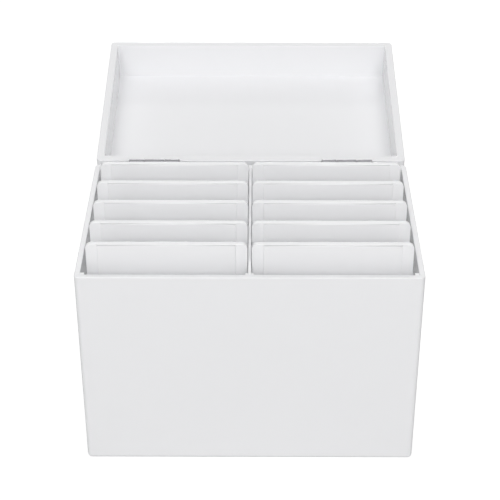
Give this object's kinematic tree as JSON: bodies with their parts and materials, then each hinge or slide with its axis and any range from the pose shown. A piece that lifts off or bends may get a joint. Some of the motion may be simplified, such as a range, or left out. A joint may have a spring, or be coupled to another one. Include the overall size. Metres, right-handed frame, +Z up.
{
  "type": "eyelash storage box",
  "caption": "Glossy lidded storage box with a hinged lay-back lid, a centre divider and slotted guides that hold upright, lift-out tiles for lash strips.",
  "frame": {"origin": "centre of the box's underside, on the surface that it stands on", "axes": "+Z up; the front wall faces -Y and the open lid lies back towards +Y; +X is to the right seen from the front"},
  "size_m": [0.185, 0.2509, 0.1476],
  "materials": {
    "box_acrylic": "polished gloss",
    "lid_acrylic": "polished gloss",
    "divider_acrylic": "polished gloss",
    "guide_acrylic": "polished gloss",
    "tile_plate_acrylic": "gloss",
    "tile_pad_acrylic": "satin gloss",
    "hinge_steel": "brushed",
    "pin_steel": "turned",
    "screw_steel": "bright"
  },
  "bodies": {
    "box": {"front_wall": "box_acrylic", "back_wall": "box_acrylic", "left_wall": "box_acrylic", "right_wall": "box_acrylic", "bottom_panel": "box_acrylic", "centre_divider": "divider_acrylic", "left_front_corner_bead": "guide_acrylic", "left_back_corner_bead": "guide_acrylic", "left_front_divider_cleat": "guide_acrylic", "left_back_divider_cleat": "guide_acrylic", "left_wall_guide": "guide_acrylic", "left_divider_guide": "guide_acrylic", "left_hinge_box_leaf": "hinge_steel", "left_hinge_box_screws": "screw_steel", "left_hinge_pin": "pin_steel", "right_front_corner_bead": "guide_acrylic", "right_back_corner_bead": "guide_acrylic", "right_front_divider_cleat": "guide_acrylic", "right_back_divider_cleat": "guide_acrylic", "right_wall_guide": "guide_acrylic", "right_divider_guide": "guide_acrylic", "right_hinge_box_leaf": "hinge_steel", "right_hinge_box_screws": "screw_steel", "right_hinge_pin": "pin_steel"},
    "lid": {"lid_front_wall": "lid_acrylic", "lid_back_wall": "lid_acrylic", "lid_left_wall": "lid_acrylic", "lid_right_wall": "lid_acrylic", "lid_top_panel": "lid_acrylic", "left_hinge_lid_leaf": "hinge_steel", "left_hinge_lid_screws": "screw_steel", "right_hinge_lid_leaf": "hinge_steel", "right_hinge_lid_screws": "screw_steel"},
    "tile_left_1": {"tile_left_1_plate": "tile_plate_acrylic", "tile_left_1_pad": "tile_pad_acrylic"},
    "tile_left_2": {"tile_left_2_plate": "tile_plate_acrylic", "tile_left_2_pad": "tile_pad_acrylic"},
    "tile_left_3": {"tile_left_3_plate": "tile_plate_acrylic", "tile_left_3_pad": "tile_pad_acrylic"},
    "tile_left_4": {"tile_left_4_plate": "tile_plate_acrylic", "tile_left_4_pad": "tile_pad_acrylic"},
    "tile_left_5": {"tile_left_5_plate": "tile_plate_acrylic", "tile_left_5_pad": "tile_pad_acrylic"},
    "tile_right_1": {"tile_right_1_plate": "tile_plate_acrylic", "tile_right_1_pad": "tile_pad_acrylic"},
    "tile_right_2": {"tile_right_2_plate": "tile_plate_acrylic", "tile_right_2_pad": "tile_pad_acrylic"},
    "tile_right_3": {"tile_right_3_plate": "tile_plate_acrylic", "tile_right_3_pad": "tile_pad_acrylic"},
    "tile_right_4": {"tile_right_4_plate": "tile_plate_acrylic", "tile_right_4_pad": "tile_pad_acrylic"},
    "tile_right_5": {"tile_right_5_plate": "tile_plate_acrylic", "tile_right_5_pad": "tile_pad_acrylic"}
  },
  "joints": [
    {"name": "lid_hinge", "type": "hinge", "parent": "box", "child": "lid", "pos_m": [0, 0.0631, 0.12415], "axis": [-1, 0, 0], "range_deg": [-169, 0]},
    {"name": "tile_left_1_lift", "type": "slide", "parent": "box", "child": "tile_left_1", "axis": [0, 0, 1], "range_m": [0, 0.125]},
    {"name": "tile_left_2_lift", "type": "slide", "parent": "box", "child": "tile_left_2", "axis": [0, 0, 1], "range_m": [0, 0.125]},
    {"name": "tile_left_3_lift", "type": "slide", "parent": "box", "child": "tile_left_3", "axis": [0, 0, 1], "range_m": [0, 0.125]},
    {"name": "tile_left_4_lift", "type": "slide", "parent": "box", "child": "tile_left_4", "axis": [0, 0, 1], "range_m": [0, 0.125]},
    {"name": "tile_left_5_lift", "type": "slide", "parent": "box", "child": "tile_left_5", "axis": [0, 0, 1], "range_m": [0, 0.125]},
    {"name": "tile_right_1_lift", "type": "slide", "parent": "box", "child": "tile_right_1", "axis": [0, 0, 1], "range_m": [0, 0.125]},
    {"name": "tile_right_2_lift", "type": "slide", "parent": "box", "child": "tile_right_2", "axis": [0, 0, 1], "range_m": [0, 0.125]},
    {"name": "tile_right_3_lift", "type": "slide", "parent": "box", "child": "tile_right_3", "axis": [0, 0, 1], "range_m": [0, 0.125]},
    {"name": "tile_right_4_lift", "type": "slide", "parent": "box", "child": "tile_right_4", "axis": [0, 0, 1], "range_m": [0, 0.125]},
    {"name": "tile_right_5_lift", "type": "slide", "parent": "box", "child": "tile_right_5", "axis": [0, 0, 1], "range_m": [0, 0.125]}
  ]
}
